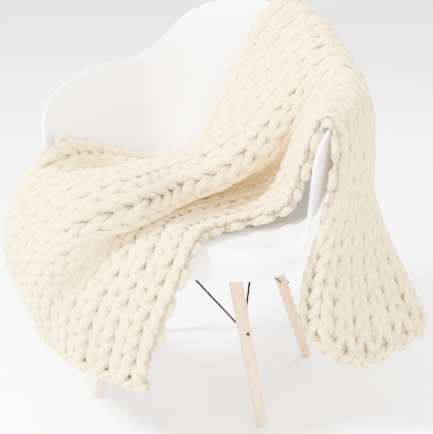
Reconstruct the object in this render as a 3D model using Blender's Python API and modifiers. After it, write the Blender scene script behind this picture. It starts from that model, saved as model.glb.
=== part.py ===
"""A chunky knit blanket thrown over a moulded shell chair.

Metres, +Z up. The chair faces -Y. The floor is z = 0, under the chair's four feet.
"""
import math

import bmesh
import bpy
import numpy as np
from mathutils import Matrix, Vector
from mathutils.bvhtree import BVHTree

CM = 0.01
GAP = 0.0003                 # clearance between pieces that touch
MIDDLE = (0.0315, -0.0319)   # the whole's middle, measured from the middle of the four feet

# ---- chair sizes -------------------------------------------------------------
SHELL_THICK = 0.006
SEAT_LOW = (0.0, 0.020, 0.395)   # lowest point of the seat's inner face
RIM_TURNS = 60                   # points round the rim
RIM_RINGS = 12                   # rings from the seat's lowest point to the rim

# Right half of the shell's rim, from the middle of the front lip to the middle of the back.
# columns: x, y, z in cm; square = how boxy the wall below it is; crest = how high, in cm, the
# surface swells before it turns down to the rim; flare = how far the wall leans out at the rim
RIM = (
    # x      y      z     square crest flare
    (0.0, -29.6, 37.2, 2.1, 4.6, 0.00),
    (9.0, -29.4, 37.2, 2.1, 4.6, 0.00),
    (16.5, -28.4, 37.4, 2.2, 4.6, 0.00),
    (22.4, -26.2, 37.9, 2.5, 4.4, 0.00),
    (26.6, -23.2, 39.2, 2.9, 3.6, 0.00),
    (28.6, -20.4, 42.8, 3.4, 1.8, 0.00),
    (28.9, -18.9, 49.0, 3.9, 0.5, 0.01),
    (29.0, -18.6, 57.0, 4.0, 0.0, 0.02),
    (30.0, -17.6, 64.2, 4.0, 0.0, 0.03),
    (31.6, -9.0, 67.6, 4.0, 0.0, 0.04),
    (30.8, 2.5, 69.6, 3.8, 0.0, 0.04),
    (28.0, 12.0, 70.6, 3.5, 0.0, 0.03),
    (24.0, 18.8, 71.0, 3.2, 0.0, 0.02),
    (19.5, 22.3, 74.8, 3.0, 0.0, 0.02),
    (14.5, 24.6, 80.6, 2.9, 0.0, 0.02),
    (7.5, 26.2, 83.9, 2.9, 0.0, 0.02),
    (0.0, 26.6, 85.0, 2.9, 0.0, 0.02),
)

# base: four turned legs, a plate under the seat, and pairs of crossed rods between the legs
FOOT_X, FOOT_Y = 0.196, 0.181    # half spacing of the feet
HIP_X, HIP_Y = 0.099, 0.110      # half spacing of the leg tops
HIP_Z = 0.350
FOOT_R, HIP_R = 0.0115, 0.0165
LEG_SIDES = 20
PLATE_X, PLATE_Y = 0.130, 0.140  # half sizes of the plate
PLATE_Z, PLATE_THICK = 0.366, 0.006
BLOCK_R = 0.019                  # block between a leg and the plate
PAD_X, PAD_Y, PAD_R = 0.088, 0.088, 0.016    # pads between the plate and the seat
ROD_R = 0.0032
ROD_Z = 0.194                    # height at which the rods meet the legs
ROD_IN = 0.030                   # how far in from a leg's top a rod meets the plate
ROD_ASIDE = 0.0042               # how far a rod stands off the plane of its crossed pair
BOLT_R, BOLT_TALL = 0.0042, 0.003


# ---- blanket sizes ------------------------------------------------------------
CLOTH_THICK = 0.024          # the knit is two strands of 2 cm yarn, pressed
CLOTH_CLEAR = 0.002          # air left between the cloth and the chair
ROWS, WALES = 56, 32         # quads along the blanket and across it
EASE_PASSES = 5              # rounds of smoothing, each after the cloth is lifted off the chair
EASE = 0.1                   # strength of one round
LIFT_PASSES = 2              # rounds of lifting alone, to end with
LIFT_SPREAD = 0.7            # share of a lift that goes on to the next point
LIFT_BACK = 0.008            # how far through the chair a point may be and still be lifted
LIFT_REACH = 0.024           # how near the chair a point of the cloth is for a lift

# Five lines run along the blanket, from the hem on the chair's left to the hem on its right.
# Each has a point, in cm, in every one of these sections, in this order:
# left hem, left hang, front lip, lip crest, seat front, seat middle, seat back, back foot,
# back middle, over the top, outside high, outside low, right hem
FRONT_EDGE = (
    (0.5, -36.0, 12.9), (5.2, -37.0, 28.2), (8.9, -34.3, 39.3), (9.7, -28.3, 44.6),
    (9.0, -21.3, 43.6), (9.2, -13.7, 42.2), (14.6, -6.6, 42.3), (21.7, -7.2, 46.0),
    (26.0, -13.5, 56.0), (30.8, -16.0, 69.2), (33.3, -17.6, 58.0), (27.4, -15.4, 34.5),
    (26.3, -13.0, 24.0),
)
VALLEY = (
    (-16.0, -33.5, 14.2), (-12.0, -36.2, 30.0), (-10.5, -33.6, 38.6), (-9.5, -29.0, 44.0),
    (-10.0, -15.0, 43.8), (-8.0, -2.0, 43.0), (1.0, 8.5, 43.5), (12.5, 9.5, 49.0),
    (20.5, 6.0, 60.0), (29.5, 5.0, 72.2), (35.0, -1.0, 62.0), (36.8, -2.0, 38.0),
    (41.2, -7.0, 12.3),
)
RIDGE = (
    (-28.0, -24.0, 14.5), (-25.0, -33.0, 30.5), (-17.0, -38.4, 39.8), (-11.5, -35.6, 45.4),
    (-2.5, -27.6, 47.2), (-0.5, -12.5, 47.2), (7.0, -4.5, 50.0), (13.0, 0.5, 55.5),
    (18.3, 7.5, 66.5), (25.5, 14.0, 76.3), (34.6, 6.0, 62.0), (36.5, 7.0, 41.0),
    (50.0, 9.0, 14.6),
)
BAND = (
    (-37.9, -10.0, 15.5), (-39.6, -19.0, 32.0), (-36.0, -22.0, 43.5), (-30.5, -23.5, 51.0),
    (-19.5, -17.0, 51.5), (-16.0, -4.0, 50.0), (-9.0, 6.0, 51.0), (1.0, 12.0, 56.5),
    (8.0, 16.5, 68.0), (17.5, 24.3, 80.9), (26.0, 23.0, 66.0), (29.0, 25.0, 46.0),
    (38.0, 22.0, 27.0),
)
BACK_EDGE = (
    (-40.0, 8.0, 22.0), (-43.0, -2.0, 34.0), (-38.0, -13.5, 45.0), (-30.6, -21.2, 53.3),
    (-29.6, -20.2, 59.8), (-27.3, -8.0, 57.8), (-21.0, 12.0, 49.0), (-10.0, 18.5, 49.0),
    (-2.5, 20.5, 66.0), (8.3, 26.6, 85.9), (14.0, 30.0, 75.0), (21.0, 31.5, 58.0),
    (28.0, 31.0, 45.0),
)
# How the cloth doubles over between valley and ridge, one number for each section, in cm:
TUCK = (0, 0, 0.5, 2.2, 3.5, 2.8, 2.8, 1.8, 0.6, 0, 0, 0, 0)     # rise of the cloth half way up
PUFF = (0, 0.3, 1.8, 4.7, 6.0, 4.0, 4.2, 3.4, 2.0, 0.6, 0, 0, 0)  # rise of the ridge's back
DIP = (0, 0, 0, 0.5, 3.0, 4.5, 3.0, 1.0, 0, 0, 0, 0, 0)         # fall between band and back edge
LAP = (0, 0, 0, 0, 0, 0, 0, 0, 0, 0, 0, 10.5, 9.0)           # how far the fold beside the
#                                                                 front edge stands forward of it


def fresh_scene():
    for obj in list(bpy.data.objects):
        bpy.data.objects.remove(obj, do_unlink=True)


def material(name, colour, roughness, metallic=0.0):
    mat = bpy.data.materials.new(name)
    mat.use_nodes = True
    shader = mat.node_tree.nodes["Principled BSDF"]
    shader.inputs["Base Color"].default_value = (*colour, 1.0)
    shader.inputs["Roughness"].default_value = roughness
    shader.inputs["Metallic"].default_value = metallic
    return mat


def place(name, mesh, mat, collection):
    obj = bpy.data.objects.new(name, mesh)
    mesh.materials.append(mat)
    collection.objects.link(obj)
    return obj


def catmull(points, count, closed=False):
    """count points, evenly spaced by parameter, on a Catmull-Rom curve through the rows of points."""
    pts = np.asarray(points, float)
    n = len(pts)
    spans = n if closed else n - 1
    out = []
    for k in range(count):
        t = k * spans / (count if closed else count - 1)
        i = min(int(t), spans - 1)
        s = t - i
        if closed:
            a, b, c, d = (pts[(i + j) % n] for j in (-1, 0, 1, 2))
        else:
            b, c = pts[i], pts[i + 1]
            a = pts[i - 1] if i > 0 else 2 * b - c
            d = pts[i + 2] if i + 2 < n else 2 * c - b
        out.append(0.5 * (2 * b + (c - a) * s + (2 * a - 5 * b + 4 * c - d) * s**2
                          + (3 * b - a - 3 * c + d) * s**3))
    return np.array(out)


# ---- chair -------------------------------------------------------------------
def rim_points():
    half = np.array(RIM, float)
    half[:, :3] *= CM
    other = half[1:-1][::-1].copy()
    other[:, 0] *= -1
    return catmull(np.concatenate([half, other]), RIM_TURNS, closed=True)


def shell_grid():
    """Points of the seat's inner face: ring 0 is the lowest point, the last ring is the rim."""
    low = np.array(SEAT_LOW)
    rings = []
    for k in range(1, RIM_RINGS + 1):
        t = k / RIM_RINGS
        ring = []
        for x, y, z, square, crest, flare in rim_points():
            turn = t * math.pi / 2
            swell = crest * CM * math.sin(math.pi * t**2.2)
            out = math.sin(turn) ** (2 / square)
            rise = 1 - math.cos(turn) ** (2 / square)
            out = out * (1 - flare) + flare * rise**4
            ring.append((low[0] + out * (x - low[0]), low[1] + out * (y - low[1]),
                         low[2] + rise * (z - low[2]) + swell))
        rings.append(ring)
    rings = np.array(rings)
    for k in range(RIM_RINGS - 1):          # even out the inner rings, most near the middle
        for _ in range(RIM_RINGS - 1 - k):
            rings[k] = (np.roll(rings[k], 1, 0) + 2 * rings[k] + np.roll(rings[k], -1, 0)) / 4
    return low, rings


def shell_mesh():
    low, rings = shell_grid()
    points = [tuple(low)] + [tuple(p) for ring in rings for p in ring]
    faces = []
    for j in range(RIM_TURNS):
        k = (j + 1) % RIM_TURNS
        faces.append((0, 1 + j, 1 + k))
        for i in range(RIM_RINGS - 1):
            a, b = 1 + i * RIM_TURNS, 1 + (i + 1) * RIM_TURNS
            faces.append((a + j, b + j, b + k, a + k))
    mesh = bpy.data.meshes.new("shell")
    mesh.from_pydata(points, [], faces)
    mesh.update()
    return mesh


def make_shell(mat, collection):
    shell = place("shell", shell_mesh(), mat, collection)
    thick = shell.modifiers.new("thickness", "SOLIDIFY")
    thick.thickness = SHELL_THICK
    thick.offset = -1
    thick.use_even_offset = True
    return shell


def world_tree(obj):
    """The object's finished surface, in the world's frame, for rays."""
    bpy.context.view_layer.update()
    solid = obj.evaluated_get(bpy.context.evaluated_depsgraph_get())
    mesh = solid.to_mesh()
    points = [obj.matrix_world @ v.co for v in mesh.vertices]
    faces = [tuple(p.vertices) for p in mesh.polygons]
    solid.to_mesh_clear()
    return BVHTree.FromPolygons(points, faces)


def free_run(tree, start, way, radius, reach):
    """How far a disc of this radius slides from start, square to way, before it is GAP short of
    the tree's surface."""
    side = way.orthogonal().normalized() * radius
    offsets = [Vector((0, 0, 0))]
    offsets += [Matrix.Rotation(math.tau * k / 24, 3, way) @ side for k in range(24)]
    hits = [tree.ray_cast(start + offset, way, reach)[3] for offset in offsets]
    return min(hit for hit in hits if hit is not None) - GAP


def make_round(name, low, high, radius, sides, mat, collection):
    """A cylinder between two points."""
    bm = bmesh.new()
    span = high - low
    bmesh.ops.create_cone(bm, cap_ends=True, segments=sides, radius1=radius, radius2=radius,
                          depth=span.length)
    mesh = bpy.data.meshes.new(name)
    bm.to_mesh(mesh)
    bm.free()
    obj = place(name, mesh, mat, collection)
    obj.rotation_mode = "QUATERNION"
    obj.rotation_quaternion = span.to_track_quat("Z", "Y")
    obj.location = (low + high) / 2
    return obj


def make_plate(mat, collection):
    bm = bmesh.new()
    bmesh.ops.create_cube(bm, size=1)
    bmesh.ops.scale(bm, vec=(2 * PLATE_X, 2 * PLATE_Y, PLATE_THICK), verts=bm.verts)
    upright = [e for e in bm.edges if abs((e.verts[0].co - e.verts[1].co).z) > PLATE_THICK / 2]
    bmesh.ops.bevel(bm, geom=upright, offset=0.025, segments=5, affect="EDGES")
    mesh = bpy.data.meshes.new("seat_plate")
    bm.to_mesh(mesh)
    bm.free()
    plate = place("seat_plate", mesh, mat, collection)
    plate.location = (0, 0, PLATE_Z + PLATE_THICK / 2)


def leg_point(side_x, side_y, z):
    """The point of a leg's axis at height z."""
    up = z / HIP_Z
    return Vector((side_x * (FOOT_X + up * (HIP_X - FOOT_X)),
                   side_y * (FOOT_Y + up * (HIP_Y - FOOT_Y)), z))


def make_rod(name, foot_side, top_side, foot_leg, mat, collection):
    """A rod from part way up one leg to the plate, beside the top of the next leg."""
    low = leg_point(*foot_side, ROD_Z)
    high = leg_point(*top_side, HIP_Z)
    across = Vector((low.x - high.x, low.y - high.y, 0))
    along_x = abs(across.x) > abs(across.y)
    inward = Vector((1, 0, 0)) if along_x else Vector((0, 1, 0))
    high += inward * math.copysign(ROD_IN, inward.dot(across))
    high.z = PLATE_Z
    aside = Vector((0, 1, 0)) if along_x else Vector((1, 0, 0))
    aside *= ROD_ASIDE * (1 if inward.dot(across) > 0 else -1)
    low, high = low + aside, high + aside
    way = (high - low).normalized()
    run = free_run(foot_leg, high, -way, ROD_R, 1.0)
    low = high - way * run
    lean = math.acos(way.z)
    high -= way * (GAP + ROD_R * math.sin(lean)) / math.cos(lean)
    make_round(name, low, high, ROD_R, 14, mat, collection)


def make_bolt(name, side_x, side_y, mat, collection):
    """A round head on the leg's outer side, where the rods meet the leg."""
    axis = (leg_point(side_x, side_y, HIP_Z) - leg_point(side_x, side_y, 0)).normalized()
    level = Vector((-side_y, side_x, 0))
    out = axis.cross(level).normalized()
    diagonal = Vector((side_x, side_y, 0)).normalized()
    out *= math.copysign(1, out.dot(diagonal))
    radius = FOOT_R + (HIP_R - FOOT_R) * (ROD_Z + BOLT_R) / HIP_Z
    flat = radius * math.cos(math.pi / LEG_SIDES) * diagonal.dot(out)
    low = leg_point(side_x, side_y, ROD_Z) + out * (flat + GAP)
    make_round(name, low, low + out * BOLT_TALL, BOLT_R, 16, mat, collection)


def make_leg(name, side_x, side_y, mat, collection):
    bm = bmesh.new()
    bmesh.ops.create_cone(bm, cap_ends=True, segments=LEG_SIDES, radius1=FOOT_R,
                          radius2=HIP_R, depth=HIP_Z)
    bmesh.ops.translate(bm, vec=(0, 0, HIP_Z / 2), verts=bm.verts)
    lean_x = side_x * (HIP_X - FOOT_X) / HIP_Z
    lean_y = side_y * (HIP_Y - FOOT_Y) / HIP_Z
    shear = Matrix(((1, 0, lean_x, 0), (0, 1, lean_y, 0), (0, 0, 1, 0), (0, 0, 0, 1)))
    bmesh.ops.transform(bm, matrix=shear, verts=bm.verts)
    mesh = bpy.data.meshes.new(name)
    bm.to_mesh(mesh)
    bm.free()
    leg = place(name, mesh, mat, collection)
    leg.location = (side_x * FOOT_X, side_y * FOOT_Y, 0)
    return leg


# ---- blanket -----------------------------------------------------------------
def even(points, count):
    """count points at equal distances along a line of many points."""
    steps = np.linalg.norm(np.diff(points, axis=0), axis=1)
    along = np.concatenate([[0.0], np.cumsum(steps)])
    where = np.linspace(0, along[-1], count)
    return np.stack([np.interp(where, along, points[:, k]) for k in range(3)], axis=1)


def cloth_lines():
    """The named lines, and those between them, as an array: section, line, xyz."""
    front, valley, ridge, band, back = (
        np.array(line) * CM for line in (FRONT_EDGE, VALLEY, RIDGE, BAND, BACK_EDGE)
    )
    up = np.array((0, 0, CM))
    tuck, puff, dip = (np.array(column)[:, None] * up for column in (TUCK, PUFF, DIP))
    lap = np.array(LAP)[:, None] * np.array((0, -CM, 0))
    flat = (front + valley) / 2 + lap
    under = valley + 0.3 * (ridge - valley) + tuck
    top = ridge + 0.2 * (band - ridge) + puff
    behind = (band + back) / 2 - dip
    return np.stack([front, flat, valley, under, ridge, top, band, behind, back], axis=1)


def cloth_grid():
    """Points of the cloth's middle surface, evenly spaced along it and across it."""
    across = [even(catmull(section, 160), WALES + 1) for section in cloth_lines()]
    across = np.array(across)
    lines = [even(catmull(across[:, k], 320), ROWS + 1) for k in range(WALES + 1)]
    return np.array(lines).transpose(1, 0, 2)


def upward(grid):
    """The unit normal at each point of the grid, on the side of the cloth away from the chair."""
    normal = np.cross(np.gradient(grid, axis=0), np.gradient(grid, axis=1))
    return normal / np.linalg.norm(normal, axis=2, keepdims=True)


def lift_round(grid, tree):
    """One round of moving the grid away from the shell, tested at points, sides and middles."""
    least = CLOTH_THICK / 2 + CLOTH_CLEAR
    normal = upward(grid)
    move = np.zeros(grid.shape[:2])
    for down, right in ((0, 0), (0, 1), (1, 0), (1, 1)):
        rows, wide = grid.shape[0] - down, grid.shape[1] - right
        corners = [(slice(a, a + rows), slice(b, b + wide))
                   for a in range(down + 1) for b in range(right + 1)]
        middle = sum(grid[c] for c in corners) / len(corners)
        facing = sum(normal[c] for c in corners)
        need = np.zeros((rows, wide))
        for r, c in np.ndindex(rows, wide):
            near, _, _, far = tree.find_nearest(Vector(middle[r, c]), LIFT_REACH)
            if near is not None:
                above = np.dot(middle[r, c] - np.array(near), facing[r, c]) >= 0
                if above or far < LIFT_BACK:
                    need[r, c] = max(0.0, least - (far if above else -far))
        for corner in corners:
            move[corner] = np.maximum(move[corner], need)
    for _ in range(2):                     # points beside a lifted point rise with it
        wide = np.pad(move, 1)
        for beside in (wide[:-2, 1:-1], wide[2:, 1:-1], wide[1:-1, :-2], wide[1:-1, 2:]):
            move = np.maximum(move, LIFT_SPREAD * beside)
    return grid + normal * move[:, :, None]


def lifted(grid, shell):
    """The grid moved clear of the shell, and eased."""
    bpy.context.view_layer.update()
    tree = BVHTree.FromObject(shell, bpy.context.evaluated_depsgraph_get())
    for _ in range(EASE_PASSES):
        grid = lift_round(grid, tree)
        grid[1:-1] += (grid[:-2] - 2 * grid[1:-1] + grid[2:]) * EASE
        grid[:, 1:-1] += (grid[:, :-2] - 2 * grid[:, 1:-1] + grid[:, 2:]) * EASE
    for _ in range(LIFT_PASSES):
        grid = lift_round(grid, tree)
    return grid


def make_blanket(shell, mat, collection):
    grid = lifted(cloth_grid(), shell)
    wide = WALES + 1
    faces = [(r * wide + c, (r + 1) * wide + c, (r + 1) * wide + c + 1, r * wide + c + 1)
             for r in range(ROWS) for c in range(WALES)]
    mesh = bpy.data.meshes.new("blanket")
    mesh.from_pydata([tuple(p) for p in grid.reshape(-1, 3)], [], faces)
    blanket = place("blanket", mesh, mat, collection)
    thick = blanket.modifiers.new("thickness", "SOLIDIFY")
    thick.thickness = CLOTH_THICK
    thick.offset = 0
    return blanket


def make_base(shell, wood, metal, rubber, collection):
    corners = {f"{end}_{side}": (side_x, side_y)
               for end, side_y in (("front", -1), ("rear", 1))
               for side, side_x in (("left", -1), ("right", 1))}
    seat = world_tree(shell)
    up = Vector((0, 0, 1))
    make_plate(metal, collection)
    for corner, (side_x, side_y) in corners.items():
        leg = make_leg(f"leg_{corner}", side_x, side_y, wood, collection)
        tree = world_tree(leg)
        low = leg_point(side_x, side_y, HIP_Z + GAP)
        high = Vector((low.x, low.y, PLATE_Z - GAP))
        make_round(f"block_{corner}", low, high, BLOCK_R, 24, rubber, collection)
        low = Vector((side_x * PAD_X, side_y * PAD_Y, PLATE_Z + PLATE_THICK + GAP))
        high = low + up * free_run(seat, low, up, PAD_R, 0.2)
        make_round(f"pad_{corner}", low, high, PAD_R, 24, rubber, collection)
        make_bolt(f"bolt_{corner}", side_x, side_y, metal, collection)
        make_rod(f"rod_{corner}_across", (side_x, side_y), (-side_x, side_y), tree, metal,
                 collection)
        make_rod(f"rod_{corner}_along", (side_x, side_y), (side_x, -side_y), tree, metal,
                 collection)


def main():
    fresh_scene()
    collection = bpy.data.collections.new("knit_blanket_on_chair")
    bpy.context.scene.collection.children.link(collection)
    plastic = material("white_plastic", (0.9, 0.9, 0.92), 0.35)
    wood = material("pale_wood", (0.78, 0.62, 0.48), 0.5)
    yarn = material("cream_yarn", (0.93, 0.86, 0.74), 0.9)
    metal = material("black_metal", (0.02, 0.02, 0.02), 0.4, 1.0)
    rubber = material("black_rubber", (0.03, 0.03, 0.03), 0.8)
    shell = make_shell(plastic, collection)
    make_blanket(shell, yarn, collection)
    make_base(shell, wood, metal, rubber, collection)
    for obj in collection.objects:
        obj.location -= Vector((*MIDDLE, 0))


main()
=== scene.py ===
"""Looks for the knit blanket on the shell chair: real yarn loops over the drape, and finer
chair pieces. Metres, +Z up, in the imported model's frame."""
import math

import bmesh
import bpy
import numpy as np
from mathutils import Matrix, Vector
from mathutils.bvhtree import BVHTree


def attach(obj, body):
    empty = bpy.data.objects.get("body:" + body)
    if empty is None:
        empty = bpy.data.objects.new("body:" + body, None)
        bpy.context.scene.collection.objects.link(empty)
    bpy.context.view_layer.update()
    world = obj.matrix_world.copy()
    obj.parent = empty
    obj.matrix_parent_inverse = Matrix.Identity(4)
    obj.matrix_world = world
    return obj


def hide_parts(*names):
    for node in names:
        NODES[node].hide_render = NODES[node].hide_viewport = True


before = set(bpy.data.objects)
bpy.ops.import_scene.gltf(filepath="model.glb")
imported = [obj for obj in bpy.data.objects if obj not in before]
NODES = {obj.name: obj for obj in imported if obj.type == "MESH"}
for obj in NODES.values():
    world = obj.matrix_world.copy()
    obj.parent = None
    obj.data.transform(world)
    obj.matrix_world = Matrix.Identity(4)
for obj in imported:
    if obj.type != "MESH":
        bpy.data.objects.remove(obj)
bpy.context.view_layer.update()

CM = 0.01
MIDDLE = np.array((0.0315, -0.0319, 0.0))    # the whole's middle, from the middle of the feet

# The chair, in metres, as in part.py. The rounded rim and the legs' finer sides are only here.
SHELL_THICK = 0.006
SHELL_EDGE = 0.0022           # how far the shell's rim is rounded
SEAT_LOW = (0.0, 0.020, 0.395)
RIM_TURNS, RIM_RINGS = 60, 12
FOOT_X, FOOT_Y, HIP_X, HIP_Y, HIP_Z = 0.196, 0.181, 0.099, 0.110, 0.350
FOOT_R, HIP_R = 0.0115, 0.0165
LEG_SIDES = 40

# The blanket's middle surface, in metres, as in part.py.
CLOTH_THICK = 0.024
CLOTH_CLEAR = 0.002
ROWS, WALES = 56, 32
SECTION_STEPS, LINE_STEPS = 160, 320         # points on a curve before it is evened out
EASE_PASSES, EASE = 5, 0.1
LIFT_PASSES, LIFT_SPREAD, LIFT_BACK, LIFT_REACH = 2, 0.7, 0.008, 0.024

PROBE = 0.01                  # how far beside a place the cloth is looked at for a direction or a
#                               size, as a share of its width or length

# The knit: columns are counted across the blanket and rows along it, and the rest is in metres
# where the comment doesn't say otherwise.
STITCHES = 12                 # knitted columns across the blanket
COURSES = 40                  # rows of stitches along it
STEPS = 34                    # points along the yarn in one stitch
TURN_STEPS = 9                # points along its turn at a side, both ends among them
SIDES = 12                    # points round the yarn
KNIT_PIECES = 4
YARN_WIDE = (0.0095, 0.0132)  # least and greatest half width of the yarn, in the cloth's plane
YARN_FILL = 0.215             # its half width as a share of the room that a stitch has
YARN_DEEP = 0.0084            # half thickness of the yarn
STITCH_SHAPE = 1.3            # a stitch's usual width, as a share of its height
WEAVE = 0.0074                # how far the yarn swings to the front and to the back
STAND = 0.0016                # how far the knit's middle stands off the cloth's own
REACH = 1.17                  # half height of a stitch, in rows
SHINGLE = 0.7                 # how much further forward a stitch's lower half lies than its upper,
#                               as a share of WEAVE
SPLAY = 0.25                  # how far a stitch's legs spread, in columns
SIDE_TURN = 0.10              # how far the yarn's turn at a side stands out, in columns
SIDE_ROOM, END_ROOM = 0.30, 0.28             # room for the yarn's own half width, in columns, rows
LEAN, TALL = 0.025, 0.035     # how unevenly stitches lean, in columns, and vary in height
LUMPS = 0.07                  # how uneven the yarn's surface is, as a share of its radius
SWELL, SWELL_STEPS = 0.055, 9                # how unevenly thick it is, and in how many points
YARN_ENDS = (0.35, 0.8)       # its thickness at its last point and at the one before, as shares

HEM_PLACE = 0.0155            # how far in a hem lies, as a share of the length
HEM_TWISTS = 12               # turns of the two strands in a bound hem
HEM_STEPS = 14                # points along a strand in one turn
HEM_INSET = 0.004             # how far from the sides a hem ends, as a share of the width
HEM_SPREAD = 0.0070           # distance of a strand's middle from the hem's own middle
HEM_YARN = 0.0104             # half width of a strand in the hem

CORE_ROWS, CORE_COLUMNS = 150, 60            # points of the inner sheet, along it and across it
CORE_INSET = (0.02, 0.011)    # how far inside the blanket it ends, across and along, as shares
CORE_BACK = 0.0035            # how far its middle lies behind the cloth's
CORE_THICK = 0.007

# Tones of the yarn: about 1 on the blanket's two faces, and less in the crevices, where the darker
# colours are painted shade.
FLANK_SHADE = 0.2               # how much darker the yarn's flanks are: painted shade for the crevices between strands
BACK_TONE = 0.6               # least tone of yarn that faces the blanket's back, which keeps the painted shade on that side light
BORDER_TONE = 0.8             # least tone at the border, which keeps the painted crevice shade light there
BORDER_SIDE, BORDER_END = 0.15, 0.8          # how softly the border begins, in columns and in rows
CORE_SHADE_TONES = (1.0, 0.56)      # the inner sheet's tone beside a hem, and further in: painted shade between the stitches, lighter beside a hem
CORE_FADE = (0.03, 0.06)      # where the first ends and the second begins, as shares of the length
HEIGHT_SHARE, FLUFF_SHARE, PATCH_SHARE = 0.88, 3.2, 0.40     # what a colour's tone is mixed from; the height level in it is painted shade
FLUFF_MIDDLE = 0.52
YARN_TONES = (
    # tone, colour
    (0.24, (0.11, 0.062, 0.026)), (0.46, (0.38, 0.235, 0.095)), (0.62, (0.70, 0.46, 0.17)),
    (0.82, (0.90, 0.64, 0.215)), (1.16, (0.98, 0.76, 0.265)),
)

LIGHT_AIM = (0.0, 0.0, 0.45)
LIGHTS = (
    # name, x y z of the light, its size in metres, its power in watts
    ("key", (-1.8, -1.6, 2.8), 0.6, 950),
    ("fill", (2.0, -1.9, 1.8), 1.6, 150),
    ("back", (0.3, 2.2, 2.4), 1.6, 150),
)
WORLD_STRENGTH = 3.0
FLOOR_HALF, FLOOR_LOW = 6.0, 0.0005
CAMERA_TURN, CAMERA_TILT = math.radians(19.92), math.radians(19.5)
CAMERA_PLACE = (0.800, -2.137, 1.204)        # from the middle of the feet
CAMERA_SENSOR, CAMERA_LENS = 36.0, 89.32     # in mm

# Right half of the shell's rim, from the middle of the front lip to the middle of the back.
# columns: x, y, z in cm; square = how boxy the wall below it is; crest = how high, in cm, the
# surface swells before it turns down to the rim; flare = how far the wall leans out at the rim
RIM = (
    # x      y      z     square crest flare
    (0.0, -29.6, 37.2, 2.1, 4.6, 0.00),
    (9.0, -29.4, 37.2, 2.1, 4.6, 0.00),
    (16.5, -28.4, 37.4, 2.2, 4.6, 0.00),
    (22.4, -26.2, 37.9, 2.5, 4.4, 0.00),
    (26.6, -23.2, 39.2, 2.9, 3.6, 0.00),
    (28.6, -20.4, 42.8, 3.4, 1.8, 0.00),
    (28.9, -18.9, 49.0, 3.9, 0.5, 0.01),
    (29.0, -18.6, 57.0, 4.0, 0.0, 0.02),
    (30.0, -17.6, 64.2, 4.0, 0.0, 0.03),
    (31.6, -9.0, 67.6, 4.0, 0.0, 0.04),
    (30.8, 2.5, 69.6, 3.8, 0.0, 0.04),
    (28.0, 12.0, 70.6, 3.5, 0.0, 0.03),
    (24.0, 18.8, 71.0, 3.2, 0.0, 0.02),
    (19.5, 22.3, 74.8, 3.0, 0.0, 0.02),
    (14.5, 24.6, 80.6, 2.9, 0.0, 0.02),
    (7.5, 26.2, 83.9, 2.9, 0.0, 0.02),
    (0.0, 26.6, 85.0, 2.9, 0.0, 0.02),
)

# Five lines run along the blanket, from the hem on the chair's left to the hem on its right.
# Each has a point, in cm, in every one of these sections, in this order:
# left hem, left hang, front lip, lip crest, seat front, seat middle, seat back, back foot,
# back middle, over the top, outside high, outside low, right hem
FRONT_EDGE = (
    (0.5, -36.0, 12.9), (5.2, -37.0, 28.2), (8.9, -34.3, 39.3), (9.7, -28.3, 44.6),
    (9.0, -21.3, 43.6), (9.2, -13.7, 42.2), (14.6, -6.6, 42.3), (21.7, -7.2, 46.0),
    (26.0, -13.5, 56.0), (30.8, -16.0, 69.2), (33.3, -17.6, 58.0), (27.4, -15.4, 34.5),
    (26.3, -13.0, 24.0),
)
VALLEY = (
    (-16.0, -33.5, 14.2), (-12.0, -36.2, 30.0), (-10.5, -33.6, 38.6), (-9.5, -29.0, 44.0),
    (-10.0, -15.0, 43.8), (-8.0, -2.0, 43.0), (1.0, 8.5, 43.5), (12.5, 9.5, 49.0),
    (20.5, 6.0, 60.0), (29.5, 5.0, 72.2), (35.0, -1.0, 62.0), (36.8, -2.0, 38.0),
    (41.2, -7.0, 12.3),
)
RIDGE = (
    (-28.0, -24.0, 14.5), (-25.0, -33.0, 30.5), (-17.0, -38.4, 39.8), (-11.5, -35.6, 45.4),
    (-2.5, -27.6, 47.2), (-0.5, -12.5, 47.2), (7.0, -4.5, 50.0), (13.0, 0.5, 55.5),
    (18.3, 7.5, 66.5), (25.5, 14.0, 76.3), (34.6, 6.0, 62.0), (36.5, 7.0, 41.0),
    (50.0, 9.0, 14.6),
)
BAND = (
    (-37.9, -10.0, 15.5), (-39.6, -19.0, 32.0), (-36.0, -22.0, 43.5), (-30.5, -23.5, 51.0),
    (-19.5, -17.0, 51.5), (-16.0, -4.0, 50.0), (-9.0, 6.0, 51.0), (1.0, 12.0, 56.5),
    (8.0, 16.5, 68.0), (17.5, 24.3, 80.9), (26.0, 23.0, 66.0), (29.0, 25.0, 46.0),
    (38.0, 22.0, 27.0),
)
BACK_EDGE = (
    (-40.0, 8.0, 22.0), (-43.0, -2.0, 34.0), (-38.0, -13.5, 45.0), (-30.6, -21.2, 53.3),
    (-29.6, -20.2, 59.8), (-27.3, -8.0, 57.8), (-21.0, 12.0, 49.0), (-10.0, 18.5, 49.0),
    (-2.5, 20.5, 66.0), (8.3, 26.6, 85.9), (14.0, 30.0, 75.0), (21.0, 31.5, 58.0),
    (28.0, 31.0, 45.0),
)
# How the cloth doubles over between valley and ridge, one number for each section, in cm.
# tuck: how far the cloth rises half way up. puff: how far the ridge's back rises. dip: how far
# the cloth falls between band and back edge. lap: how far the fold beside the front edge stands
# forward of it.
TUCK = (0, 0, 0.5, 2.2, 3.5, 2.8, 2.8, 1.8, 0.6, 0, 0, 0, 0)
PUFF = (0, 0.3, 1.8, 4.7, 6.0, 4.0, 4.2, 3.4, 2.0, 0.6, 0, 0, 0)
DIP = (0, 0, 0, 0.5, 3.0, 4.5, 3.0, 1.0, 0, 0, 0, 0, 0)
LAP = (0, 0, 0, 0, 0, 0, 0, 0, 0, 0, 0, 10.5, 9.0)

LEG_PROFILE = (
    # height as a share, radius as a share of the straight taper's
    (0.0, 0.80), (0.004, 0.93), (0.012, 1.0), (0.25, 1.0), (0.5, 1.0), (0.75, 1.0),
    (0.985, 1.0), (1.0, 0.93),
)


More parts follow.
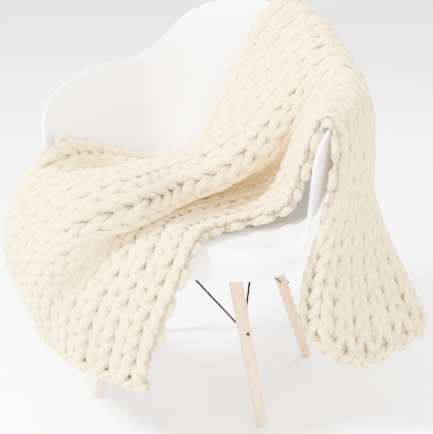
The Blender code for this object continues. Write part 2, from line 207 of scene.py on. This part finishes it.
def catmull(points, count, closed=False):
    """count points, evenly spaced by parameter, on a Catmull-Rom curve through the given ones."""
    pts = np.asarray(points, float)
    n = len(pts)
    spans = n if closed else n - 1
    out = []
    for k in range(count):
        t = k * spans / (count if closed else count - 1)
        i = min(int(t), spans - 1)
        s = t - i
        if closed:
            a, b, c, d = (pts[(i + j) % n] for j in (-1, 0, 1, 2))
        else:
            b, c = pts[i], pts[i + 1]
            a = pts[i - 1] if i > 0 else 2 * b - c
            d = pts[i + 2] if i + 2 < n else 2 * c - b
        out.append(0.5 * (2 * b + (c - a) * s + (2 * a - 5 * b + 4 * c - d) * s**2
                          + (3 * b - a - 3 * c + d) * s**3))
    return np.array(out)


def rim_points():
    half = np.array(RIM, float)
    half[:, :3] *= CM
    other = half[1:-1][::-1].copy()
    other[:, 0] *= -1
    return catmull(np.concatenate([half, other]), RIM_TURNS, closed=True)


def shell_grid():
    """Points of the seat's inner face: ring 0 is the lowest point, the last ring is the rim."""
    low = np.array(SEAT_LOW)
    rings = []
    for k in range(1, RIM_RINGS + 1):
        t = k / RIM_RINGS
        ring = []
        for x, y, z, square, crest, flare in rim_points():
            turn = t * math.pi / 2
            swell = crest * CM * math.sin(math.pi * t**2.2)
            out = math.sin(turn) ** (2 / square)
            rise = 1 - math.cos(turn) ** (2 / square)
            out = out * (1 - flare) + flare * rise**4
            ring.append((low[0] + out * (x - low[0]), low[1] + out * (y - low[1]),
                         low[2] + rise * (z - low[2]) + swell))
        rings.append(ring)
    rings = np.array(rings)
    for k in range(RIM_RINGS - 1):          # even out the inner rings, most near the middle
        for _ in range(RIM_RINGS - 1 - k):
            rings[k] = (np.roll(rings[k], 1, 0) + 2 * rings[k] + np.roll(rings[k], -1, 0)) / 4
    return low, rings


def even(points, count):
    """count points at equal distances along a line of many points."""
    steps = np.linalg.norm(np.diff(points, axis=0), axis=1)
    along = np.concatenate([[0.0], np.cumsum(steps)])
    where = np.linspace(0, along[-1], count)
    return np.stack([np.interp(where, along, points[:, k]) for k in range(3)], axis=1)


def cloth_lines():
    """The named lines, and those between them, as an array: section, line, xyz."""
    front, valley, ridge, band, back = (
        np.array(line) * CM for line in (FRONT_EDGE, VALLEY, RIDGE, BAND, BACK_EDGE)
    )
    up = np.array((0, 0, CM))
    tuck, puff, dip = (np.array(column)[:, None] * up for column in (TUCK, PUFF, DIP))
    lap = np.array(LAP)[:, None] * np.array((0, -CM, 0))
    flat = (front + valley) / 2 + lap
    under = valley + 0.3 * (ridge - valley) + tuck
    top = ridge + 0.2 * (band - ridge) + puff
    behind = (band + back) / 2 - dip
    return np.stack([front, flat, valley, under, ridge, top, band, behind, back], axis=1)


def cloth_grid():
    """Points of the cloth's middle surface, evenly spaced along it and across it."""
    across = [even(catmull(section, SECTION_STEPS), WALES + 1) for section in cloth_lines()]
    across = np.array(across)
    lines = [even(catmull(across[:, k], LINE_STEPS), ROWS + 1) for k in range(WALES + 1)]
    return np.array(lines).transpose(1, 0, 2)


def upward(grid):
    """The unit normal at each point of the grid, on the side of the cloth away from the chair."""
    normal = np.cross(np.gradient(grid, axis=0), np.gradient(grid, axis=1))
    return normal / np.linalg.norm(normal, axis=2, keepdims=True)


def lift_round(grid, tree):
    """One round of moving the grid away from the shell, tested at points, sides and middles."""
    least = CLOTH_THICK / 2 + CLOTH_CLEAR
    normal = upward(grid)
    move = np.zeros(grid.shape[:2])
    for down, right in ((0, 0), (0, 1), (1, 0), (1, 1)):
        rows, wide = grid.shape[0] - down, grid.shape[1] - right
        corners = [(slice(a, a + rows), slice(b, b + wide))
                   for a in range(down + 1) for b in range(right + 1)]
        middle = sum(grid[c] for c in corners) / len(corners)
        facing = sum(normal[c] for c in corners)
        need = np.zeros((rows, wide))
        for r, c in np.ndindex(rows, wide):
            near, _, _, far = tree.find_nearest(Vector(middle[r, c]), LIFT_REACH)
            if near is not None:
                above = np.dot(middle[r, c] - np.array(near), facing[r, c]) >= 0
                if above or far < LIFT_BACK:
                    need[r, c] = max(0.0, least - (far if above else -far))
        for corner in corners:
            move[corner] = np.maximum(move[corner], need)
    for _ in range(2):                     # points beside a lifted point rise with it
        wide = np.pad(move, 1)
        for beside in (wide[:-2, 1:-1], wide[2:, 1:-1], wide[1:-1, :-2], wide[1:-1, 2:]):
            move = np.maximum(move, LIFT_SPREAD * beside)
    return grid + normal * move[:, :, None]


def lifted(grid, tree):
    for _ in range(EASE_PASSES):
        grid = lift_round(grid, tree)
        grid[1:-1] += (grid[:-2] - 2 * grid[1:-1] + grid[2:]) * EASE
        grid[:, 1:-1] += (grid[:, :-2] - 2 * grid[:, 1:-1] + grid[:, 2:]) * EASE
    for _ in range(LIFT_PASSES):
        grid = lift_round(grid, tree)
    return grid


# ---- shader helpers ----------------------------------------------------------
def new_material(name, roughness, **values):
    mat = bpy.data.materials.new(name)
    mat.use_nodes = True
    shader = mat.node_tree.nodes["Principled BSDF"]
    shader.inputs["Roughness"].default_value = roughness
    for key, value in values.items():
        shader.inputs[key.replace("_", " ")].default_value = value
    return mat, mat.node_tree, shader


def add(tree, kind, **settings):
    """A new node; each setting is an input's value, or else one of the node's own."""
    node = tree.nodes.new(kind)
    for key, value in settings.items():
        if key in node.inputs:
            node.inputs[key].default_value = value
        else:
            setattr(node, key, value)
    return node


def noise(tree, scale, detail, coords=None, rough=0.5):
    node = add(tree, "ShaderNodeTexNoise", Scale=scale, Detail=detail, Roughness=rough)
    tree.links.new(coords or object_coords(tree), node.inputs["Vector"])
    return node.outputs["Fac"]


def object_coords(tree):
    return add(tree, "ShaderNodeTexCoord").outputs["Object"]


def ramp(tree, value, stops):
    node = add(tree, "ShaderNodeValToRGB")
    while len(node.color_ramp.elements) < len(stops):
        node.color_ramp.elements.new(0.5)
    for element, (place, colour) in zip(node.color_ramp.elements, stops):
        element.position = place
        element.color = (*colour, 1.0)
    tree.links.new(value, node.inputs["Fac"])
    return node.outputs["Color"]


def bump(tree, shader, height, strength, distance):
    node = add(tree, "ShaderNodeBump", Strength=strength, Distance=distance)
    tree.links.new(height, node.inputs["Height"])
    tree.links.new(node.outputs["Normal"], shader.inputs["Normal"])


def maths(tree, operation, a, b):
    node = add(tree, "ShaderNodeMath", operation=operation)
    for k, value in enumerate((a, b)):
        if isinstance(value, (int, float)):
            node.inputs[k].default_value = value
        else:
            tree.links.new(value, node.inputs[k])
    return node.outputs[0]


def yarn_material():
    mat, tree, shader = new_material("chenille_yarn", 0.95)
    shader.inputs["Sheen Weight"].default_value = 0.35
    shader.inputs["Sheen Roughness"].default_value = 0.6
    shader.inputs["Sheen Tint"].default_value = (1.0, 0.97, 0.90, 1.0)
    shader.inputs["Specular IOR Level"].default_value = 0.15
    # The height attribute is a level of painted shade: low in the crevices and on the yarn's
    # flanks, where the ramp gives darker colours.
    height = add(tree, "ShaderNodeAttribute", attribute_name="height").outputs["Fac"]
    patch = noise(tree, 30.0, 2.0)
    fluff = noise(tree, 240.0, 6.0, rough=0.8)
    speckle = maths(tree, "MULTIPLY", maths(tree, "SUBTRACT", fluff, FLUFF_MIDDLE), FLUFF_SHARE)
    tone = maths(tree, "ADD", maths(tree, "MULTIPLY", height, HEIGHT_SHARE), speckle)
    tone = maths(tree, "ADD", tone, maths(tree, "MULTIPLY", patch, PATCH_SHARE))
    colour = ramp(tree, tone, YARN_TONES)
    tree.links.new(colour, shader.inputs["Base Color"])
    pile = maths(tree, "ADD", fluff, maths(tree, "MULTIPLY", noise(tree, 130.0, 2.0), 0.8))
    bump(tree, shader, pile, 1.0, 0.0045)
    return mat


def plastic_material():
    mat, tree, shader = new_material("moulded_plastic", 0.35)
    grain = noise(tree, 900.0, 2.0)
    colour = ramp(tree, noise(tree, 6.0, 2.0),
                  ((0.3, (0.88, 0.885, 0.90)), (0.7, (0.91, 0.912, 0.925))))
    tree.links.new(colour, shader.inputs["Base Color"])
    tree.links.new(ramp(tree, grain, ((0.3, (0.30,) * 3), (0.7, (0.42,) * 3))),
                   shader.inputs["Roughness"])
    bump(tree, shader, grain, 0.08, 0.0004)
    return mat


def wood_material():
    mat, tree, shader = new_material("oiled_wood", 0.5)
    place = add(tree, "ShaderNodeMapping")
    place.inputs["Scale"].default_value = (60.0, 60.0, 4.0)
    tree.links.new(object_coords(tree), place.inputs["Vector"])
    fibre = noise(tree, 3.0, 5.0, place.outputs["Vector"], 0.65)
    colour = ramp(tree, fibre, ((0.25, (0.48, 0.25, 0.10)), (0.48, (0.72, 0.43, 0.20)),
                                (0.75, (0.85, 0.58, 0.31))))
    tree.links.new(colour, shader.inputs["Base Color"])
    bump(tree, shader, fibre, 0.15, 0.0005)
    return mat


def black_material(name, roughness, metallic, scale):
    mat, tree, shader = new_material(name, roughness, Metallic=metallic)
    grain = noise(tree, scale, 3.0)
    colour = ramp(tree, grain, ((0.3, (0.004, 0.004, 0.004)), (0.7, (0.014, 0.014, 0.014))))
    tree.links.new(colour, shader.inputs["Base Color"])
    bump(tree, shader, grain, 0.15, 0.0003)
    return mat


def floor_material():
    mat, tree, shader = new_material("studio_floor", 0.8)
    colour = ramp(tree, noise(tree, 3.0, 2.0),
                  ((0.3, (0.975, 0.975, 0.975)), (0.7, (0.99, 0.99, 0.99))))
    tree.links.new(colour, shader.inputs["Base Color"])
    return mat


# ---- meshes ------------------------------------------------------------------
def mesh_piece(name, points, faces, mat):
    mesh = bpy.data.meshes.new(name)
    mesh.from_pydata([tuple(p) for p in points], [], faces)
    mesh.update()
    mesh.shade_smooth()
    mesh.materials.append(mat)
    obj = bpy.data.objects.new(name, mesh)
    bpy.context.scene.collection.objects.link(obj)
    return obj


def quads(rows, columns, wrap=False):
    """Faces between neighbouring points of a grid; wrap joins the last column to the first."""
    last = columns if wrap else columns - 1
    return [(r * columns + c, (r + 1) * columns + c,
             (r + 1) * columns + (c + 1) % columns, r * columns + (c + 1) % columns)
            for r in range(rows - 1) for c in range(last)]


class Surface:
    """The cloth's middle surface as a smooth function of u, across, and v, along, from 0 to 1."""

    def __init__(self, grid):
        self.shape = grid.shape[:2]
        normal = upward(grid)
        for _ in range(2):
            wide = np.pad(normal, ((1, 1), (1, 1), (0, 0)), mode="edge")
            normal = (normal + (wide[:-2, 1:-1] + wide[2:, 1:-1] + wide[1:-1, :-2]
                                + wide[1:-1, 2:]) / 4) / 2
        self.grid, self.normal = self.padded(grid), self.padded(normal)

    @staticmethod
    def padded(grid):
        """The grid with one more row and column at each border, straight on from it."""
        grid = np.concatenate([2 * grid[:1] - grid[1:2], grid, 2 * grid[-1:] - grid[-2:-1]])
        return np.concatenate([2 * grid[:, :1] - grid[:, 1:2], grid,
                               2 * grid[:, -1:] - grid[:, -2:-1]], axis=1)

    @staticmethod
    def weights(place, count):
        """The first of the four grid points round each place, and the share that each has."""
        place = np.clip(place, 0, 1) * (count - 1)
        first = np.minimum(place.astype(int), count - 2)
        s = (place - first)[:, None]
        cubic = np.concatenate([-s + 2 * s**2 - s**3, 2 - 5 * s**2 + 3 * s**3,
                                s + 4 * s**2 - 3 * s**3, -s**2 + s**3], axis=1) / 2
        return first, cubic

    def at(self, u, v):
        """Points and unit normals; places past the border go straight on from it."""
        rows, down = self.weights(v, self.shape[0])
        cols, over = self.weights(u, self.shape[1])
        point = np.zeros((len(u), 3))
        normal = np.zeros((len(u), 3))
        for i in range(4):
            for j in range(4):
                share = (down[:, i] * over[:, j])[:, None]
                point += share * self.grid[rows + i, cols + j]
                normal += share * self.normal[rows + i, cols + j]
        return point, normal / np.linalg.norm(normal, axis=1, keepdims=True)


def yarn_path():
    """The yarn's path through all stitches: across in columns, along in rows, and depth."""
    rng = np.random.default_rng(7)
    turn = np.arange(STITCHES * STEPS + 1) / STEPS * math.tau
    across, along, depth, course = [], [], [], []
    edge = np.linspace(0, math.pi, TURN_STEPS)[1:-1]
    for row in range(COURSES):
        x = turn / math.tau + SPLAY * np.sin(2 * turn)
        y = REACH * np.cos(turn)
        z = -np.cos(2 * turn) - SHINGLE * np.cos(turn) * np.abs(np.sin(turn))
        lean = rng.normal(0, LEAN, STITCHES + 1)
        tall = rng.normal(0, TALL, STITCHES + 1)
        place = turn / math.tau
        x = x + np.interp(place, np.arange(STITCHES + 1), lean)
        y = y * (1 + np.interp(place, np.arange(STITCHES + 1), tall))
        if row % 2:
            x, y, z = x[::-1], y[::-1], z[::-1]
        across.append(x)
        along.append(y + row)
        depth.append(z)
        course.append(np.full(len(x), row))
        if row < COURSES - 1:                        # the turn at the side, into the next row
            side = 1 if row % 2 == 0 else -1
            across.append(x[-1] + side * SIDE_TURN * np.sin(edge))
            along.append(y[-1] + row + 0.5 - 0.5 * np.cos(edge))
            depth.append(-1 + 0.5 * np.sin(edge))
            course.append(np.full(len(edge), row))
    return (np.concatenate(across), np.concatenate(along), np.concatenate(depth),
            np.concatenate(course))


def tube(name, centre, normal, wide, deep, mat):
    """The yarn round a path, and how far each of its points rises towards the blanket's front.
    normal is the cloth's normal at each point of the path, wide is the yarn's half width there,
    and deep is half its thickness."""
    rng = np.random.default_rng(len(centre))
    way = np.gradient(centre, axis=0)
    way /= np.linalg.norm(way, axis=1, keepdims=True)
    side = np.cross(way, normal)
    side /= np.linalg.norm(side, axis=1, keepdims=True)
    rise = np.cross(side, way)
    knots = rng.normal(0, SWELL, len(centre) // SWELL_STEPS + 2)
    swell = 1 + np.interp(np.arange(len(centre)) / SWELL_STEPS, np.arange(len(knots)), knots)
    swell[[0, -1]] *= YARN_ENDS[0]
    swell[[1, -2]] *= YARN_ENDS[1]
    angle = np.arange(SIDES) / SIDES * math.tau
    ring = (np.cos(angle)[None, :, None] * side[:, None, :] * wide[:, None, None]
            + np.sin(angle)[None, :, None] * rise[:, None, :] * deep)
    lumps = 1 + rng.normal(0, LUMPS, (len(centre), SIDES))
    points = centre[:, None, :] + ring * (swell[:, None] * lumps)[:, :, None]
    faces = quads(len(centre), SIDES, wrap=True)
    faces.append(tuple(range(SIDES)))
    last = (len(centre) - 1) * SIDES
    faces.append(tuple(last + k for k in reversed(range(SIDES))))
    obj = mesh_piece(name, points.reshape(-1, 3), faces, mat)
    return obj, np.sin(angle)[None, :] * deep * np.ones((len(centre), 1))


def stitch_room(surface, u, v):
    """The size of a stitch at each place: its width, evened with its height."""
    left, right = np.maximum(u - PROBE, 0), np.minimum(u + PROBE, 1)
    down, up = np.maximum(v - PROBE, 0), np.minimum(v + PROBE, 1)
    width = np.linalg.norm(surface.at(right, v)[0] - surface.at(left, v)[0], axis=1)
    width /= (right - left) * STITCHES
    tall = np.linalg.norm(surface.at(u, up)[0] - surface.at(u, down)[0], axis=1)
    tall /= (up - down) * COURSES
    return np.sqrt(width * tall * STITCH_SHAPE)


def make_knit(surface, mat):
    x, y, z, course = yarn_path()
    u = (x + SIDE_ROOM) / (STITCHES + 2 * SIDE_ROOM)
    v = (y + REACH + END_ROOM) / (COURSES - 1 + 2 * REACH + 2 * END_ROOM)
    centre, normal = surface.at(u, v)
    centre = centre + normal * (z * WEAVE + STAND)[:, None]
    wide = np.clip(YARN_FILL * stitch_room(surface, u, v), *YARN_WIDE)
    aside = np.maximum(np.maximum(-x, x - STITCHES) / BORDER_SIDE,
                       np.maximum(-y, y - COURSES + 1) / BORDER_END)
    border = BORDER_TONE * np.clip(aside + 0.5, 0, 1)
    pieces = []
    for k in range(KNIT_PIECES):
        first, last = (round(j * COURSES / KNIT_PIECES) for j in (k, k + 1))
        mine = np.nonzero((course >= first) & (course < last))[0]
        obj, rise = tube(f"knit_{k + 1}", centre[mine], normal[mine], wide[mine], YARN_DEEP, mat)
        # The level is painted shade: the yarn is darker deep in the knit and on its flanks, and
        # lighter at the blanket's faces, on its back side and at the border.
        height = (z[mine] * WEAVE)[:, None] + rise
        flank = FLANK_SHADE * (1 - (rise / YARN_DEEP) ** 2) ** 2
        level = np.maximum(np.abs(height) / (WEAVE + YARN_DEEP) - flank,
                           -BACK_TONE * rise / YARN_DEEP)
        set_shade_level(obj, np.maximum(level, border[mine][:, None]))
        pieces.append(obj)
    return pieces


def set_shade_level(obj, level):
    layer = obj.data.attributes.new("height", "FLOAT", "POINT")
    layer.data.foreach_set("value", level.reshape(-1).astype(np.float32))


def make_hem(name, surface, place, mat):
    """A bound hem: two strands laid round each other across the cloth, at this share of v."""
    strands = []
    for strand in range(2):
        u = np.linspace(HEM_INSET, 1 - HEM_INSET, HEM_TWISTS * HEM_STEPS)
        turn = u * HEM_TWISTS * math.tau + strand * math.pi
        point, normal = surface.at(u, np.full(len(u), place))
        ahead, _ = surface.at(u, np.full(len(u), place + PROBE))
        along = ahead - point
        along /= np.linalg.norm(along, axis=1, keepdims=True)
        centre = (point + along * (HEM_SPREAD * np.cos(turn))[:, None]
                  + normal * (HEM_SPREAD * np.sin(turn))[:, None])
        obj, rise = tube(f"{name}_{strand + 1}", centre, normal, np.full(len(u), HEM_YARN),
                         HEM_YARN, mat)
        # The level is painted shade: darker where the two strands lie deep against each other.
        depth = (HEM_SPREAD * np.sin(turn))[:, None] + rise
        set_shade_level(obj, np.abs(depth) / (HEM_SPREAD + HEM_YARN))
        strands.append(obj)
    return strands


def make_core(surface, mat):
    """A thin sheet inside the knit, so that no light comes through between stitches. It is
    coloured as painted shade, darker further from the hems.
    """
    across, along = CORE_INSET
    v, u = np.meshgrid(np.linspace(along, 1 - along, CORE_ROWS),
                       np.linspace(across, 1 - across, CORE_COLUMNS), indexing="ij")
    v = v.reshape(-1)
    points, normal = surface.at(u.reshape(-1), v)
    faces = quads(CORE_ROWS, CORE_COLUMNS)
    core = mesh_piece("knit_shade_sheet", points - normal * CORE_BACK, faces, mat)
    set_shade_level(core, np.interp(np.minimum(v, 1 - v), CORE_FADE, CORE_SHADE_TONES))
    thick = core.modifiers.new("thickness", "SOLIDIFY")
    thick.thickness = CORE_THICK
    thick.offset = 0
    return core


def make_shell(mat):
    low, rings = shell_grid()
    points = np.concatenate([low[None], rings.reshape(-1, 3)]) - MIDDLE
    faces = []
    for j in range(RIM_TURNS):
        k = (j + 1) % RIM_TURNS
        faces.append((0, 1 + j, 1 + k))
        for i in range(RIM_RINGS - 1):
            a, b = 1 + i * RIM_TURNS, 1 + (i + 1) * RIM_TURNS
            faces.append((a + j, b + j, b + k, a + k))
    shell = mesh_piece("seat_shell", points, faces, mat)
    fine = shell.modifiers.new("fine", "SUBSURF")
    fine.levels = fine.render_levels = 2
    thick = shell.modifiers.new("thickness", "SOLIDIFY")
    thick.thickness = SHELL_THICK
    thick.offset = -1
    thick.use_even_offset = True
    edge = shell.modifiers.new("edge", "BEVEL")
    edge.width = SHELL_EDGE
    edge.segments = 3
    edge.limit_method = "ANGLE"
    edge.angle_limit = math.radians(50)
    return shell


def make_leg(name, side_x, side_y, mat):
    angle = np.arange(LEG_SIDES) / LEG_SIDES * math.tau
    rings = []
    for up, share in LEG_PROFILE:
        radius = (FOOT_R + (HIP_R - FOOT_R) * up) * share
        x = side_x * (FOOT_X + up * (HIP_X - FOOT_X)) + radius * np.cos(angle)
        y = side_y * (FOOT_Y + up * (HIP_Y - FOOT_Y)) + radius * np.sin(angle)
        rings.append(np.stack([x, y, np.full(LEG_SIDES, up * HIP_Z)], axis=1))
    points = np.concatenate(rings) - MIDDLE
    faces = [tuple(reversed(f)) for f in quads(len(LEG_PROFILE), LEG_SIDES, wrap=True)]
    faces.append(tuple(reversed(range(LEG_SIDES))))
    last = (len(LEG_PROFILE) - 1) * LEG_SIDES
    faces.append(tuple(last + k for k in range(LEG_SIDES)))
    return mesh_piece(name, points, faces, mat)


# ---- scene -------------------------------------------------------------------
def make_lights():
    for name, place, size, power in LIGHTS:
        light = bpy.data.lights.new(name, "AREA")
        light.size = size
        light.energy = power
        obj = bpy.data.objects.new(name, light)
        obj.location = place
        back = Vector(place) - Vector(LIGHT_AIM)
        obj.rotation_euler = back.to_track_quat("Z", "Y").to_euler()
        bpy.context.scene.collection.objects.link(obj)
    world = bpy.data.worlds.new("studio")
    world.use_nodes = True
    background = world.node_tree.nodes["Background"]
    background.inputs["Color"].default_value = (1.0, 1.0, 1.0, 1.0)
    background.inputs["Strength"].default_value = WORLD_STRENGTH
    bpy.context.scene.world = world


def make_camera():
    back = Vector((math.sin(CAMERA_TURN) * math.cos(CAMERA_TILT),
                   -math.cos(CAMERA_TURN) * math.cos(CAMERA_TILT), math.sin(CAMERA_TILT)))
    data = bpy.data.cameras.new("camera")
    data.sensor_width = CAMERA_SENSOR
    data.lens = CAMERA_LENS
    camera = bpy.data.objects.new("camera", data)
    camera.location = Vector(CAMERA_PLACE) - Vector(MIDDLE)
    camera.rotation_euler = back.to_track_quat("Z", "Y").to_euler()
    bpy.context.scene.collection.objects.link(camera)
    bpy.context.scene.camera = camera


def make_floor(mat):
    bm = bmesh.new()
    bmesh.ops.create_grid(bm, x_segments=8, y_segments=8, size=FLOOR_HALF)
    mesh = bpy.data.meshes.new("floor")
    bm.to_mesh(mesh)
    bm.free()
    mesh.materials.append(mat)
    floor = bpy.data.objects.new("floor", mesh)
    floor.location = (0, 0, -FLOOR_LOW)
    bpy.context.scene.collection.objects.link(floor)


def main():
    for name in ("Cube", "Light", "Camera"):
        if name in bpy.data.objects:
            bpy.data.objects.remove(bpy.data.objects[name], do_unlink=True)
    yarn, plastic, wood = yarn_material(), plastic_material(), wood_material()
    metal = black_material("black_metal_coat", 0.35, 0.6, 700.0)
    rubber = black_material("black_rubber_block", 0.75, 0.0, 300.0)

    bpy.context.view_layer.update()
    cad_shell = BVHTree.FromObject(NODES["shell"], bpy.context.evaluated_depsgraph_get())
    surface = Surface(lifted(cloth_grid() - MIDDLE, cad_shell))
    core = make_core(surface, yarn)
    knit = make_knit(surface, yarn)
    for name, place in (("hem_left", HEM_PLACE), ("hem_right", 1 - HEM_PLACE)):
        knit += make_hem(name, surface, place, yarn)
    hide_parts("blanket")
    for piece in [core, *knit]:
        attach(piece, "root")

    shell = make_shell(plastic)
    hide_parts("shell")
    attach(shell, "root")
    for end, side_y in (("front", -1), ("rear", 1)):
        for side, side_x in (("left", -1), ("right", 1)):
            leg = make_leg(f"turned_leg_{end}_{side}", side_x, side_y, wood)
            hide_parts(f"leg_{end}_{side}")
            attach(leg, "root")
    for name, obj in NODES.items():
        mat = {"bolt": metal, "rod": metal, "seat": metal, "block": rubber,
               "pad": rubber}.get(name.split("_")[0])
        if mat:
            obj.data.materials.clear()
            obj.data.materials.append(mat)
    make_floor(floor_material())
    make_lights()
    make_camera()


main()
